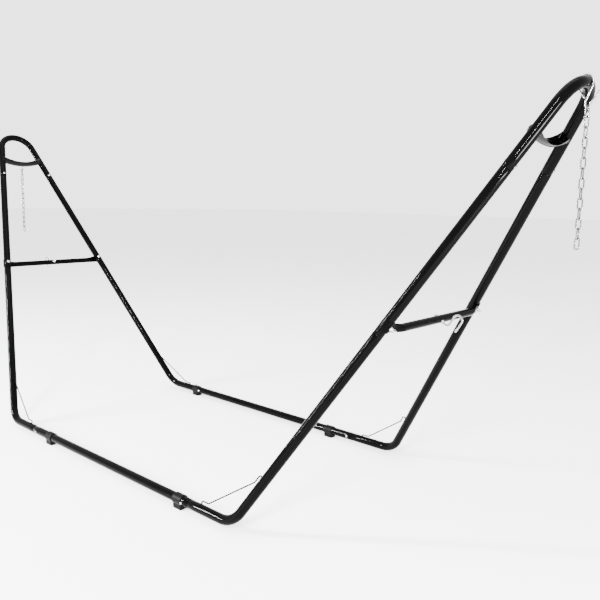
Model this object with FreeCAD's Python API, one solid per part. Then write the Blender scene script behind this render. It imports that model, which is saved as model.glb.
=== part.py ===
"""Free-standing steel hammock stand: two side rails joined by four raked legs, an arch at each
end, a spreader bar across each pair of legs, and a chain at each end.  The right chain hangs on
an S-hook over the arch's crown, the left one in a slot through its saddle.

Millimetres.  +X runs along the stand, +Y across it, +Z up.  The origin is on the floor under the
middle of the stand.  The right end (+X) is modelled and turned half a turn about Z for the left.

The legs and arch of one end lie in a leaning plane.  Its own axes are y (across), s (up the
slope, 0 at rail height) and n (square to the plane, outwards and down).
"""
import FreeCAD, Part
import math
import os

V = FreeCAD.Vector

# ---- overall sizes -------------------------------------------------------------------------
CORNER_X = 919.0            # middle of the stand to the corner where rail and leg lines meet
RAIL_Y = 570.0              # middle of the stand to a rail's centreline
RAIL_Z = 38.0               # floor to a rail's centreline
RAKE = math.radians(32.0)   # lean of the leg plane away from upright
SPLAY = math.radians(13.75)  # lean of a leg towards its partner, inside the leg plane
ARCH_R = 111.0              # radius of the arch centreline
BEND_R = 120.0              # radius of the bend between rail and leg

# ---- tubes ---------------------------------------------------------------------------------
TUBE_R = 21.0
TUBE_WALL = 2.0
SPIGOT_GAP = 0.2            # clearance all round a swaged end inside the next tube
SPIGOT_LEN = 75.0
COLLAR_LEN = 6.0            # thickened ring where a tube steps down to its swaged end
COLLAR_BITE = 0.5           # collar into the tube's wall, so that the two are one piece
RAIL_SEAM_X = 662.0         # rail ends, corner tubes begin
RAIL_BOLT_IN = 35.0         # seam to the bolt through rail and swaged end
SPREADER_S = 1002.0         # height up the slope of the spreader bolts
LEG_SEAM_BELOW = 45.0       # spreader bolt down to the seam between corner tube and upper leg
LEG_SPIGOT_LEN = 95.0
ARCH_SEAM_BELOW = 241.8     # end of the arch's bend down to where the arch slips over the legs
ARCH_BOLT_UP = 19.0         # seam to the bolt through arch and swaged end

# ---- spreader bar --------------------------------------------------------------------------
BAR_R = 16.0
BAR_WALL = 1.8
BAR_N = 31.0                # bar axis outside the leg plane
CUP_T = 4.0                 # thickness of the crushed end that wraps the leg
CUP_GAP = 0.1
CUP_TALL = 48.0
CUP_HALF_ANGLE = math.radians(68.0)
NECK_LEN = 62.0             # length over which the round bar flattens
NECK_IN = 11.5              # leg's centreline to where the neck is flat
NECK_MID = (19.2, 11.5, 28.5)   # half height, half thickness and n halfway along the neck
NECK_FLAT = (21.6, 3.6, -2.4)   # the same where it meets the cup, n from the cup's outside
DRAIN_R = 2.5
DRAIN_Y = 155.0

# ---- saddle between the arch's legs --------------------------------------------------------
SADDLE_BELOW = 187.4        # crown down the slope to the saddle
SADDLE_T = 3.0
SADDLE_MID = ((-21.0, -24.0), (4.0, -41.0), (31.0, -25.0))   # (n, s) of inner lip, belly, outer lip
SADDLE_END = ((-17.0, 16.0), (0.0, -24.0), (17.0, 8.0))
SADDLE_END_IN = 8.4         # end section short of the leg's centreline, later cut to the leg
SADDLE_SLOT_LEN, SADDLE_SLOT_WIDTH = 32.0, 7.0   # cut upright through the trough's lowest point
SADDLE_STATIONS = (-1.0, -0.8, -0.45, 0.0, 0.45, 0.8, 1.0)

# ---- corner gusset rods --------------------------------------------------------------------
ROD_R = 3.2
ROD_BEND_R = 9.0
ROD_LIFT = 34.0             # rod centreline from a tube's centreline where it runs beside it
ROD_RAIL_END = 192.0        # corner to the end that enters the rail stub
ROD_RAIL_KINK = 151.0       # corner to where the rod leaves the rail
ROD_LEG_KINK = 200.0
ROD_LEG_END = 240.0
ROD_DEPTH = 14.7            # rod end from a tube's centreline, inside its bore
HOLE_GAP = 0.2              # clearance round a rod, bolt or hook in its hole

# ---- feet ----------------------------------------------------------------------------------
FOOT_LEN = 54.0
FOOT_WIDTH = 40.0
FOOT_BAND_T = 4.2
FOOT_GAP = 0.1
FOOT_CORNER_R = 5.0
TREAD_DEPTH = 1.6
TREAD_WIDTH = 3.0
FOOT_SPLIT = 2.0            # slot along the top of the band, by which it snaps over the rail
FOOT_X = {"right_front": 592.0, "left_front": -500.0, "right_back": 494.0, "left_back": -662.0}

# ---- fasteners -----------------------------------------------------------------------------
M8_R, M6_R = 4.0, 3.0
M8_HEAD_R, M8_HEAD_H = 9.5, 5.0
M6_HEAD_R, M6_HEAD_H = 6.6, 3.8
THREAD_GAP = 0.03
WASHER_R, WASHER_T = 9.0, 1.6
WING_BODY_H, WING_SPAN, WING_H, WING_T = 9.0, 34.0, 17.0, 3.2
WING_PEAK, WING_TIP, WING_BELLY = (0.36, 1.0), (0.5, 0.72), (0.36, 0.28)  # shares of span, height
WING_ROOT_UP = 2.0
BOSS_BASE_R, BOSS_TOP_R = 8.2, 6.0
M8_TAIL, M6_TAIL = 5.0, 1.5   # bolt end past its nut
M8_HEAD_SINK, M6_HEAD_SINK = 1.5, 0.8   # rim of a domed head below the top of the tube it sits on
HEX8_AF, HEX8_H = 13.0, 6.4
HEX6_AF, HEX6_H = 10.0, 5.0
HEX_BEVEL = 1.0
ACORN_H = 12.0
ACORN_BORE = 9.5
ACORN_LEDGE = 0.3           # step between the hexagon and the dome on it
HOOK_IN_ACORN = 8.0         # length of the spreader hook's thread inside its acorn nut
SEAT = 0.4                  # how far a flat washer or nut stands off a round tube

# ---- hooks ---------------------------------------------------------------------------------
S_WIRE_R = 3.0
S_GAP = 0.3                 # S-hook off the arch tube
S_BIGHT_X, S_BIGHT_Z = 12.0, -80.0   # lowest centreline point of the S-hook from the crown centre
S_BIGHT_R = 8.0
BAR_HOOK_RISE = 66.0
BAR_HOOK_OUT = 78.0         # leg plane to the upright part of the spreader hook
BAR_HOOK_GAP = 36.0
BAR_HOOK_TIP = 6.0
BAR_HOOK_BEND_R = 14.0

# ---- chain ---------------------------------------------------------------------------------
LINKS = 14                  # that hang at each end
LINK_INSIDE = 33.0          # inner length of a link
LINK_WIRE_R = 2.5
LINK_BEND_R = 7.5
LINK_GAP = 0.2              # play between two links
HOOK_LINK_GAP = 0.5         # play between the S-hook and the first link
FIRST_LINK_TURN = 70.0      # degrees between the S-hook's plane and the first link's
SLOT_LINK_TURN = 90.0       # the same for the link that drops through the slot
LINK_TWIST = 3.0            # degrees that each further link adds to a quarter turn
LINK_TWIST_MAX = 17.0
LAID_GAP = 0.8              # left chain's top link, laid across the slot, off the trough's inside
LAID_TILT = math.radians(2.5)

ENDS = ("right", "left")
SIGNS = (-1, 1)             # front and back

# ---- values that follow from the sizes above -----------------------------------------------
BORE_R = TUBE_R - TUBE_WALL
SPIGOT_R = BORE_R - SPIGOT_GAP
TAN_SPLAY = math.tan(SPLAY)
ARCH_TANGENT_S = (RAIL_Y - ARCH_R * math.cos(SPLAY)) / TAN_SPLAY
CROWN_S = ARCH_TANGENT_S + ARCH_R * (1.0 - math.sin(SPLAY))
CROWN = V(CORNER_X + CROWN_S * math.sin(RAKE), 0, RAIL_Z + CROWN_S * math.cos(RAKE))
LEG_TURN = math.acos(math.cos(SPLAY) * math.sin(RAKE))   # angle between rail and leg lines
LEG_SEAM_S = SPREADER_S - LEG_SEAM_BELOW
ARCH_SEAM_S = ARCH_TANGENT_S - ARCH_SEAM_BELOW
SADDLE_S = CROWN_S - SADDLE_BELOW
CUP_IN_R = TUBE_R + CUP_GAP
CUP_OUT_R = CUP_IN_R + CUP_T
S_LOOP_R = TUBE_R + S_GAP + S_WIRE_R
# corners of the S-hook's centreline: x outwards and z up from the crown centre, bend radius
S_HOOK_SHAPE = (
    (1.6, -51.0, 0.0),                    # end of the loop
    (-S_LOOP_R, -14.0, 20.0),
    (-S_LOOP_R, S_LOOP_R, S_LOOP_R),
    (S_LOOP_R, S_LOOP_R, S_LOOP_R),
    (S_LOOP_R, -8.0, 20.0),
    (S_BIGHT_X - S_BIGHT_R, -60.0, 14.0),
    (S_BIGHT_X - S_BIGHT_R, S_BIGHT_Z, S_BIGHT_R),
    (S_BIGHT_X + S_BIGHT_R, S_BIGHT_Z, S_BIGHT_R),
    (S_BIGHT_X + S_BIGHT_R, -66.0, 8.0),
    (39.0, -44.0, 9.0),
    (43.5, -31.0, 3.2),
    (50.0, -29.5, 0.0),                   # flared tip of the open tail
)


def plane_matrix():
    """Matrix from the leaning plane's own axes (y, s, n) to the right end of the stand."""
    sin_r, cos_r = math.sin(RAKE), math.cos(RAKE)
    return FreeCAD.Matrix(0, sin_r, cos_r, CORNER_X,
                          1, 0, 0, 0,
                          0, cos_r, -sin_r, RAIL_Z,
                          0, 0, 0, 1)


PLANE = plane_matrix()


def at_end(shape, end):
    """The right end's shape as it is, or turned half a turn about Z for the left end."""
    placed = shape.copy()
    if end == "left":
        placed.rotate(V(0, 0, 0), V(0, 0, 1), 180)
    return placed


def moved_by(shape, matrix):
    """A copy carried by a rotation and shift, with its surfaces kept exact."""
    placed = shape.copy()
    placed.Placement = FreeCAD.Placement(matrix).multiply(placed.Placement)
    return placed


def mirrored_y(shape):
    return shape.mirror(V(0, 0, 0), V(0, 1, 0))


def half_width(s):
    """Distance of a leg's centreline from the middle of its end, s up the slope."""
    return RAIL_Y - s * TAN_SPLAY


def leg_point(s):
    """Point on the front leg's centreline, in plane axes."""
    return V(-half_width(s), s, 0)


def on_side(side, vector):
    """A front leg's point or direction in plane axes (side -1), or its mirror image (side 1)."""
    return V(-side * vector.x, vector.y, vector.z)


LEG_DIR = V(math.sin(SPLAY), math.cos(SPLAY), 0)
OUT = V(0, 0, 1)            # the plane's outward normal n


def cylinder(radius, start, direction, length):
    return Part.makeCylinder(radius, length, start, direction)


def pipe(radius, bore, start, direction, length):
    return cylinder(radius, start, direction, length).cut(cylinder(bore, start, direction, length))


def disc(radius, centre, normal):
    return Part.Wire(Part.makeCircle(radius, centre, normal))


def swept(path, radius, bore=0.0):
    """A round bar, or a tube where bore is given, along a smooth path."""
    first = path.Edges[0]
    start = first.valueAt(first.FirstParameter)
    tangent = first.tangentAt(first.FirstParameter)
    if bore:
        outer = Part.Face(disc(radius, start, tangent))
        section = outer.cut(Part.Face(disc(bore, start, tangent))).Faces[0]
    else:
        section = Part.Face(disc(radius, start, tangent))
    return path.makePipe(section)


def rounded_path(points, radii):
    """Straight runs through the points, with a tangent arc of the given radius at each corner."""
    edges = []
    here = points[0]
    for before, corner, after, radius in zip(points, points[1:], points[2:], radii):
        inward = (before - corner).normalize()
        onward = (after - corner).normalize()
        half = inward.getAngle(onward) / 2.0
        reach = radius / math.tan(half)
        start = corner + inward * reach
        end = corner + onward * reach
        bisector = (inward + onward).normalize()
        centre = corner + bisector * (radius / math.sin(half))
        if (start - here).Length > 1e-6:
            edges.append(Part.LineSegment(here, start).toShape())
        edges.append(Part.Arc(start, centre - bisector * radius, end).toShape())
        here = end
    edges.append(Part.LineSegment(here, points[-1]).toShape())
    return Part.Wire(edges)


def swaged_end(seam, direction, length):
    """The stepped-down end of a tube: a collar inside the tube and a spigot past the seam."""
    bore = SPIGOT_R - TUBE_WALL
    collar = cylinder(BORE_R + COLLAR_BITE, seam - direction * COLLAR_LEN, direction, COLLAR_LEN)
    spigot = cylinder(SPIGOT_R, seam, direction, length)
    hollow = cylinder(bore, seam - direction * COLLAR_LEN, direction, COLLAR_LEN + length)
    return collar.fuse(spigot).cut(hollow)


def bolt_hole(radius, centre, direction):
    """A cutter long enough to pass through a leg and the spreader bar outside it."""
    reach = BAR_N + BAR_R + TUBE_R
    return cylinder(radius + HOLE_GAP, centre - direction * reach, direction, 2 * reach)


# ---- tubes ---------------------------------------------------------------------------------
def arch_tube():
    """Arch of the right end: two straight legs and a circular crown."""
    start = leg_point(ARCH_SEAM_S)
    tangent = leg_point(ARCH_TANGENT_S)
    far_tangent = on_side(1, tangent)
    path = Part.Wire([
        Part.LineSegment(start, tangent).toShape(),
        Part.Arc(tangent, V(0, CROWN_S, 0), far_tangent).toShape(),
        Part.LineSegment(far_tangent, on_side(1, start)).toShape(),
    ])
    tube = swept(path, TUBE_R, BORE_R)
    for bolt in arch_bolt_points():
        tube = tube.cut(bolt_hole(M6_R, bolt, OUT))
    return moved_by(tube, PLANE)


def arch_bolt_points():
    """Centres of the front and back bolts through the arch, in plane axes."""
    front = leg_point(ARCH_SEAM_S) + LEG_DIR * ARCH_BOLT_UP
    return [on_side(side, front) for side in SIGNS]


def upper_leg():
    """Front upper leg of the right end, from the spreader joint to the arch."""
    start = leg_point(LEG_SEAM_S)
    seam = leg_point(ARCH_SEAM_S)
    tube = pipe(TUBE_R, BORE_R, start, LEG_DIR, (seam - start).Length)
    tube = tube.fuse(swaged_end(seam, LEG_DIR, SPIGOT_LEN))
    tube = tube.cut(bolt_hole(M6_R, arch_bolt_points()[0], OUT))
    tube = tube.cut(bolt_hole(M8_R, leg_point(SPREADER_S), OUT))
    return moved_by(tube.removeSplitter(), PLANE)


def world(point):
    """A point in plane axes, in the stand's own axes."""
    return PLANE.multVec(point)


def gusset_frame():
    """Corner, rail direction and the direction square to it in the plane of the bend."""
    corner = V(CORNER_X, -RAIL_Y, RAIL_Z)
    along = V(1, 0, 0)
    leg = world(LEG_DIR) - world(V(0, 0, 0))
    square = (leg - along * along.dot(leg)).normalize()
    return corner, along, square, leg


def corner_tube():
    """Front corner tube of the right end: rail stub, bend and lower leg in one length."""
    corner, along, square, leg = gusset_frame()
    start = V(RAIL_SEAM_X, -RAIL_Y, RAIL_Z)
    top = world(leg_point(LEG_SEAM_S))
    tube = swept(rounded_path([start, corner, top], [BEND_R]), TUBE_R, BORE_R)
    tube = tube.fuse([swaged_end(start, -along, SPIGOT_LEN), swaged_end(top, leg, LEG_SPIGOT_LEN)])
    leg_normal = world(OUT) - world(V(0, 0, 0))
    tube = tube.cut(bolt_hole(M8_R, world(leg_point(SPREADER_S)), leg_normal))
    tube = tube.cut(bolt_hole(M6_R, start - along * RAIL_BOLT_IN, V(0, 1, 0)))
    rod_hole = ROD_R + HOLE_GAP
    tube = tube.cut(cylinder(rod_hole, corner - along * ROD_RAIL_END, square, 2 * TUBE_R))
    tube = tube.cut(cylinder(rod_hole, corner + leg * ROD_LEG_END, leg_inward(), 2 * TUBE_R))
    return tube.removeSplitter()


def leg_inward():
    """Square to the leg, in the plane of the bend, towards the rail's side."""
    corner, along, square, leg = gusset_frame()
    return (square * math.cos(LEG_TURN) - along * math.sin(LEG_TURN)).normalize()


def side_rail():
    """Front rail, one straight tube with a bolt hole near each end."""
    start = V(-RAIL_SEAM_X, -RAIL_Y, RAIL_Z)
    rail = pipe(TUBE_R, BORE_R, start, V(1, 0, 0), 2 * RAIL_SEAM_X)
    for sign in SIGNS:
        centre = V(sign * (RAIL_SEAM_X - RAIL_BOLT_IN), -RAIL_Y, RAIL_Z)
        rail = rail.cut(bolt_hole(M6_R, centre, V(0, 1, 0)))
    return rail


def gusset_rod():
    """Z-bent rod across the front right corner, its ends through holes in the tube."""
    corner, along, square, leg = gusset_frame()
    inward = leg_inward()
    on_rail = [corner - along * ROD_RAIL_END, corner - along * ROD_RAIL_KINK]
    on_leg = [corner + leg * ROD_LEG_KINK, corner + leg * ROD_LEG_END]
    points = [on_rail[0] + square * ROD_DEPTH,
              on_rail[0] + square * ROD_LIFT,
              on_rail[1] + square * ROD_LIFT,
              on_leg[0] + inward * ROD_LIFT,
              on_leg[1] + inward * ROD_LIFT,
              on_leg[1] + inward * ROD_DEPTH]
    return swept(rounded_path(points, [ROD_BEND_R] * 4), ROD_R)


# ---- saddle --------------------------------------------------------------------------------
def strip_section(y, share):
    """Closed section of the saddle's sheet at y; share is 0 in the middle and 1 at a leg."""
    lower = [V(y, SADDLE_S + m[1] + (e[1] - m[1]) * share, m[0] + (e[0] - m[0]) * share)
             for m, e in zip(SADDLE_MID, SADDLE_END)]
    belly = Part.Arc(*lower).toShape()
    centre = belly.Curve.Center
    upper = [centre + (p - centre) * (1.0 - SADDLE_T / belly.Curve.Radius) for p in lower]
    return Part.Wire([
        belly,
        Part.LineSegment(lower[2], upper[2]).toShape(),
        Part.Arc(upper[2], upper[1], upper[0]).toShape(),
        Part.LineSegment(upper[0], lower[0]).toShape(),
    ])


def trough_arc():
    """Centre, in the right end's own axes, and lower radius of the saddle's middle section."""
    belly = Part.Arc(*[V(0, SADDLE_S + s, n) for n, s in SADDLE_MID]).toShape()
    return world(belly.Curve.Center), belly.Curve.Radius


def saddle_slot():
    """Cutter for the round-ended slot that a chain drops through."""
    centre, radius = trough_arc()
    round_r = SADDLE_SLOT_WIDTH / 2
    half = SADDLE_SLOT_LEN / 2 - round_r
    low = V(centre.x, 0, centre.z - radius - 2 * SADDLE_T)
    height = 4 * SADDLE_T
    block = Part.makeBox(SADDLE_SLOT_WIDTH, 2 * half, height, low - V(round_r, half, 0))
    ends = [cylinder(round_r, low + V(0, sign * half, 0), V(0, 0, 1), height) for sign in SIGNS]
    return block.fuse(ends)


def saddle():
    """Curved sheet trough welded between the arch's legs, belly down."""
    reach = half_width(SADDLE_S) - SADDLE_END_IN
    sections = [strip_section(reach * t, t * t) for t in SADDLE_STATIONS]
    trough = Part.makeLoft(sections, True, False)
    start = leg_point(ARCH_SEAM_S)
    length = (leg_point(ARCH_TANGENT_S) - start).Length
    for side in SIGNS:
        base, axis = on_side(side, start), on_side(side, LEG_DIR)
        trough = trough.cut(cylinder(TUBE_R, base, axis, length))
    trough = max(trough.Solids, key=lambda solid: solid.Volume)
    return moved_by(trough, PLANE).cut(saddle_slot())


# ---- spreader bar --------------------------------------------------------------------------
def crushed_end(side):
    """One end of the spreader bar, crushed and cupped round a leg; side is -1 front, 1 back."""
    axis_dir = on_side(side, LEG_DIR)
    base = on_side(side, leg_point(SPREADER_S)) - axis_dir * (CUP_TALL / 2)
    shell = pipe(CUP_OUT_R, CUP_IN_R, base, axis_dir, CUP_TALL)
    across = axis_dir.cross(OUT)
    wedge_points = [V(0, 0, 0)]
    for k in range(-4, 5):
        turn = CUP_HALF_ANGLE * k / 4
        wedge_points.append((OUT * math.cos(turn) + across * math.sin(turn)) * (3 * TUBE_R))
    wedge_points.append(wedge_points[0])
    wedge = Part.Face(Part.makePolygon([base + p for p in wedge_points])).extrude(axis_dir * CUP_TALL)
    return shell.common(wedge)


def flattening_neck(side):
    """The stretch over which the round bar flattens into the cup on one side."""
    flat_y = side * (half_width(SPREADER_S) - NECK_IN)
    round_y = flat_y - side * NECK_LEN
    flat_tall, flat_thick, flat_n = NECK_FLAT
    sections = []
    for y, tall, thick, n in ((round_y, BAR_R, BAR_R, BAR_N),
                              ((flat_y + round_y) / 2, *NECK_MID),
                              (flat_y, flat_tall, flat_thick, CUP_OUT_R + flat_n)):
        curve = Part.Ellipse(V(y, SPREADER_S + tall, n), V(y, SPREADER_S, n + thick), V(y, SPREADER_S, n))
        sections.append(Part.Wire(curve.toShape()))
    return Part.makeLoft(sections, True, False)


def spreader_bar():
    """Round bar outside the legs of the right end, its ends crushed and cupped round them."""
    half_round = half_width(SPREADER_S) - NECK_IN - NECK_LEN
    start = V(-half_round, SPREADER_S, BAR_N)
    bar = cylinder(BAR_R, start, V(1, 0, 0), 2 * half_round)
    for side in SIGNS:
        bar = bar.fuse([flattening_neck(side), crushed_end(side)])
    for side in SIGNS:
        centre = on_side(side, leg_point(SPREADER_S))
        axis_dir = on_side(side, LEG_DIR)
        bar = bar.cut(cylinder(CUP_IN_R, centre - axis_dir * NECK_LEN, axis_dir, 2 * NECK_LEN))
        bar = bar.cut(bolt_hole(M8_R, centre, OUT))
    bar = bar.cut(cylinder(BAR_R - BAR_WALL, start, V(1, 0, 0), 2 * half_round))
    bar = bar.cut(bolt_hole(M8_R, V(0, SPREADER_S, BAR_N), OUT))
    bar = bar.cut(cylinder(DRAIN_R, V(DRAIN_Y, SPREADER_S - 2 * BAR_R, BAR_N), V(0, 1, 0), 2 * BAR_R))
    return moved_by(bar.removeSplitter(), PLANE)


# ---- feet ----------------------------------------------------------------------------------
def foot(name):
    """Moulded clip-on foot: a band round the rail and a treaded block under it."""
    side = -1 if name.endswith("front") else 1
    x0 = FOOT_X[name] - FOOT_LEN / 2
    axis = V(x0, side * RAIL_Y, RAIL_Z)
    band = cylinder(TUBE_R + FOOT_GAP + FOOT_BAND_T, axis, V(1, 0, 0), FOOT_LEN)
    block = Part.makeBox(FOOT_LEN, FOOT_WIDTH, RAIL_Z, V(x0, side * RAIL_Y - FOOT_WIDTH / 2, 0))
    upright = [e for e in block.Edges if abs(e.tangentAt(e.FirstParameter).z) > 0.99]
    block = block.makeFillet(FOOT_CORNER_R, upright)
    solid = band.fuse(block)
    solid = solid.cut(cylinder(TUBE_R + FOOT_GAP, axis, V(1, 0, 0), FOOT_LEN))
    grooves = int((FOOT_LEN - 2 * FOOT_CORNER_R) // (3 * TREAD_WIDTH))
    pitch = FOOT_LEN / (grooves + 1)
    for k in range(1, grooves + 1):
        corner = V(x0 + k * pitch - TREAD_WIDTH / 2, side * RAIL_Y - FOOT_WIDTH, -1)
        solid = solid.cut(Part.makeBox(TREAD_WIDTH, 2 * FOOT_WIDTH, 1 + TREAD_DEPTH, corner))
    slot_corner = V(x0, side * RAIL_Y - FOOT_SPLIT / 2, RAIL_Z)
    slot = Part.makeBox(FOOT_LEN, FOOT_SPLIT, 2 * TUBE_R, slot_corner)
    return solid.cut(slot).removeSplitter()


# ---- fasteners -----------------------------------------------------------------------------
def dome(radius, height, centre, direction):
    """A spherical cap standing on the plane through centre."""
    ball_r = (radius ** 2 + height ** 2) / (2 * height)
    ball = Part.makeSphere(ball_r, centre + direction * (height - ball_r))
    return ball.common(cylinder(2 * radius, centre, direction, 2 * height))


def hexagon(across_flats, height, centre, direction, bore):
    """A hexagonal nut with its bottom face centred on centre."""
    corner_r = across_flats / math.sqrt(3)
    ring = [V(corner_r * math.cos(math.radians(60 * k)), corner_r * math.sin(math.radians(60 * k)), 0)
            for k in range(7)]
    prism = Part.Face(Part.makePolygon(ring)).extrude(V(0, 0, height))
    bevel = Part.makeCone(corner_r + height - HEX_BEVEL, corner_r - HEX_BEVEL, height)
    nut = prism.common(bevel)
    turn = FreeCAD.Rotation(V(0, 0, 1), direction)
    nut.Placement = FreeCAD.Placement(centre, turn)
    return nut.cut(cylinder(bore, centre, direction, height)) if bore else nut


def washer(centre, direction, bore_r):
    return pipe(WASHER_R, bore_r + HOLE_GAP, centre, direction, WASHER_T)


def domed_bolt(radius, head, sink, centre, direction, axis_dir, length):
    """Bolt whose domed head is bedded on the tube through centre; direction points to its nut."""
    head_r, head_h = head
    cap = dome(head_r, head_h, centre - direction * (TUBE_R - sink), -direction)
    cap = cap.cut(cylinder(TUBE_R, centre - axis_dir * TUBE_R, axis_dir, 2 * TUBE_R))
    return cap.fuse(cylinder(radius, centre - direction * (TUBE_R + head_h / 2), direction, length))


def spreader_bolt(side):
    """Carriage bolt through leg and spreader: dome inside, thread outside."""
    centre = on_side(side, leg_point(SPREADER_S))
    length = TUBE_R + M8_HEAD_H / 2 + nut_seat() + WASHER_T + WING_BODY_H + M8_TAIL
    head = (M8_HEAD_R, M8_HEAD_H)
    return domed_bolt(M8_R, head, M8_HEAD_SINK, centre, OUT, on_side(side, LEG_DIR), length)


def nut_seat():
    """Height above the leg plane where the spreader bolts' washers sit."""
    return CUP_OUT_R + SEAT


def wing_nut(side):
    """Wing nut on a spreader bolt: a tapered boss with two rounded wings along the bar."""
    base = on_side(side, leg_point(SPREADER_S)) + OUT * (nut_seat() + WASHER_T)
    nut = Part.makeCone(BOSS_BASE_R, BOSS_TOP_R, WING_BODY_H, base, OUT)
    for sign in SIGNS:
        root = base + V(sign * (M8_R + 1.0), 0, WING_ROOT_UP)
        shoulder = V(root.x, root.y, base.z + WING_BODY_H - 1.0)
        peak, tip, belly = [base + V(sign * WING_SPAN * span, 0, WING_H * height)
                            for span, height in (WING_PEAK, WING_TIP, WING_BELLY)]
        outline = Part.Wire([Part.LineSegment(root, shoulder).toShape(),
                             Part.Arc(shoulder, peak, tip).toShape(),
                             Part.Arc(tip, belly, root).toShape()])
        wing = Part.Face(outline).extrude(V(0, WING_T, 0))
        wing.translate(V(0, -WING_T / 2, 0))
        nut = nut.fuse(wing)
    return nut.cut(cylinder(M8_R + THREAD_GAP, base - OUT, OUT, 2 * WING_H)).removeSplitter()


def frame_bolt(centre, direction, axis_dir):
    """Round-head M6 bolt through a tube joint; direction points from head to nut."""
    length = 2 * TUBE_R + M6_HEAD_H / 2 + SEAT + HEX6_H + M6_TAIL
    return domed_bolt(M6_R, (M6_HEAD_R, M6_HEAD_H), M6_HEAD_SINK, centre, direction, axis_dir, length)


def frame_nut(centre, direction):
    return hexagon(HEX6_AF, HEX6_H, centre + direction * (TUBE_R + SEAT), direction, M6_R + THREAD_GAP)


def frame_joints():
    """(centre, head-to-nut direction, tube direction) of the right end's four M6 bolts."""
    normal = world(OUT) - world(V(0, 0, 0))
    joints = []
    for point, side in zip(arch_bolt_points(), SIGNS):
        axis_dir = world(on_side(side, LEG_DIR)) - world(V(0, 0, 0))
        joints.append((world(point), normal, axis_dir))
    for side in SIGNS:
        centre = V(RAIL_SEAM_X - RAIL_BOLT_IN, side * RAIL_Y, RAIL_Z)
        joints.append((centre, V(0, side, 0), V(1, 0, 0)))
    return joints


# ---- hooks ---------------------------------------------------------------------------------
def s_hook():
    """S-hook of the right end: closed loop over the crown, tight bight below, open tail."""
    points = [CROWN + V(x, 0, z) for x, z, radius in S_HOOK_SHAPE]
    radii = [radius for x, z, radius in S_HOOK_SHAPE[1:-1]]
    return swept(rounded_path(points, radii), S_WIRE_R)


def spreader_hook():
    """Threaded hook through the middle of the right spreader bar, its tip turned down."""
    inner = BAR_N - BAR_R - SEAT - WASHER_T - HOOK_IN_ACORN
    outline = [(inner, 0.0), (BAR_HOOK_OUT, 0.0), (BAR_HOOK_OUT, BAR_HOOK_RISE),
               (BAR_HOOK_OUT + BAR_HOOK_GAP, BAR_HOOK_RISE), (BAR_HOOK_OUT + BAR_HOOK_GAP, BAR_HOOK_TIP)]
    bend = BAR_HOOK_GAP / 2
    points = [V(0, SPREADER_S + s, n) for n, s in outline]
    path = rounded_path(points, [BAR_HOOK_BEND_R, bend, bend])
    wire = swept(path, M8_R)
    tip = Part.makeSphere(M8_R, points[-1])
    return moved_by(wire.fuse(tip).removeSplitter(), PLANE)


def hook_washers():
    """Washers under the spreader hook's two nuts."""
    mid = V(0, SPREADER_S, BAR_N)
    inner = mid - OUT * (BAR_R + SEAT)
    outer = mid + OUT * (BAR_R + SEAT)
    return [washer(inner, -OUT, M8_R), washer(outer, OUT, M8_R)]


def hook_nut():
    """Hexagonal nut outside the bar on the spreader hook."""
    base = V(0, SPREADER_S, BAR_N + BAR_R + SEAT + WASHER_T)
    return hexagon(HEX8_AF, HEX8_H, base, OUT, M8_R + THREAD_GAP)


def acorn_nut():
    """Domed nut on the spreader hook's inner end."""
    base = V(0, SPREADER_S, BAR_N - BAR_R - SEAT - WASHER_T)
    nut = hexagon(HEX8_AF, HEX8_H, base, -OUT, 0)
    cap = dome(HEX8_AF / 2 - ACORN_LEDGE, ACORN_H - HEX8_H, base - OUT * (HEX8_H - ACORN_LEDGE), -OUT)
    bore = cylinder(M8_R + THREAD_GAP, base, -OUT, ACORN_BORE)
    return nut.fuse(cap).cut(bore).removeSplitter()


# ---- chain ---------------------------------------------------------------------------------
def hung_links(pivot, seat, heading):
    """(pivot, seat, heading) of each link of a hanging chain, top link first.

    They are the centre of the wire that it hangs on, the rise from there to its own top wire, and
    the turn of its plane from +X in radians.
    """
    links = []
    for index in range(LINKS):
        turn = heading + 90.0 * (index % 2) + min(LINK_TWIST * index, LINK_TWIST_MAX)
        links.append((pivot, seat, math.radians(turn)))
        pivot = pivot + V(0, 0, seat - LINK_INSIDE - 2 * LINK_WIRE_R)
        seat = 2 * LINK_WIRE_R + LINK_GAP
    return links


def right_chain():
    """Links that hang on the right end's S-hook."""
    seat = S_WIRE_R + LINK_WIRE_R + HOOK_LINK_GAP
    return hung_links(CROWN + V(S_BIGHT_X, 0, S_BIGHT_Z), seat, FIRST_LINK_TURN)


def left_chain():
    """Links that hang through the saddle's slot, before they are turned to the left end."""
    return hung_links(laid_wire(), 2 * LINK_WIRE_R + LINK_GAP, SLOT_LINK_TURN)


def laid_wire():
    """Centre of the end wire of the link that lies in the trough, over the slot."""
    centre, radius = trough_arc()
    reach = radius - SADDLE_T - LINK_WIRE_R - LAID_GAP
    return centre - V(0, 0, math.sqrt(reach ** 2 - LINK_BEND_R ** 2))


def oval(first, second, across):
    """Welded link of round wire between the centres of its two bends."""
    along = (first - second).normalize() * LINK_BEND_R
    side = across * LINK_BEND_R
    path = Part.Wire([
        Part.LineSegment(second + side, first + side).toShape(),
        Part.Arc(first + side, first + along, first - side).toShape(),
        Part.LineSegment(first - side, second - side).toShape(),
        Part.Arc(second - side, second - along, second + side).toShape(),
    ])
    return swept(path, LINK_WIRE_R)


def hung_link(pivot, seat, heading):
    top = pivot + V(0, 0, seat - LINK_BEND_R)
    low = top - V(0, 0, LINK_INSIDE + 2 * LINK_WIRE_R - 2 * LINK_BEND_R)
    return oval(top, low, V(math.cos(heading), math.sin(heading), 0))


def laid_link():
    """The left chain's top link, which lies along the trough and holds the rest in the slot."""
    along = V(0, math.cos(LAID_TILT), math.sin(LAID_TILT))
    first = laid_wire() + along * LINK_BEND_R
    second = laid_wire() + along * (LINK_INSIDE + 2 * LINK_WIRE_R - LINK_BEND_R)
    return oval(first, second, V(1, 0, 0))


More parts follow.
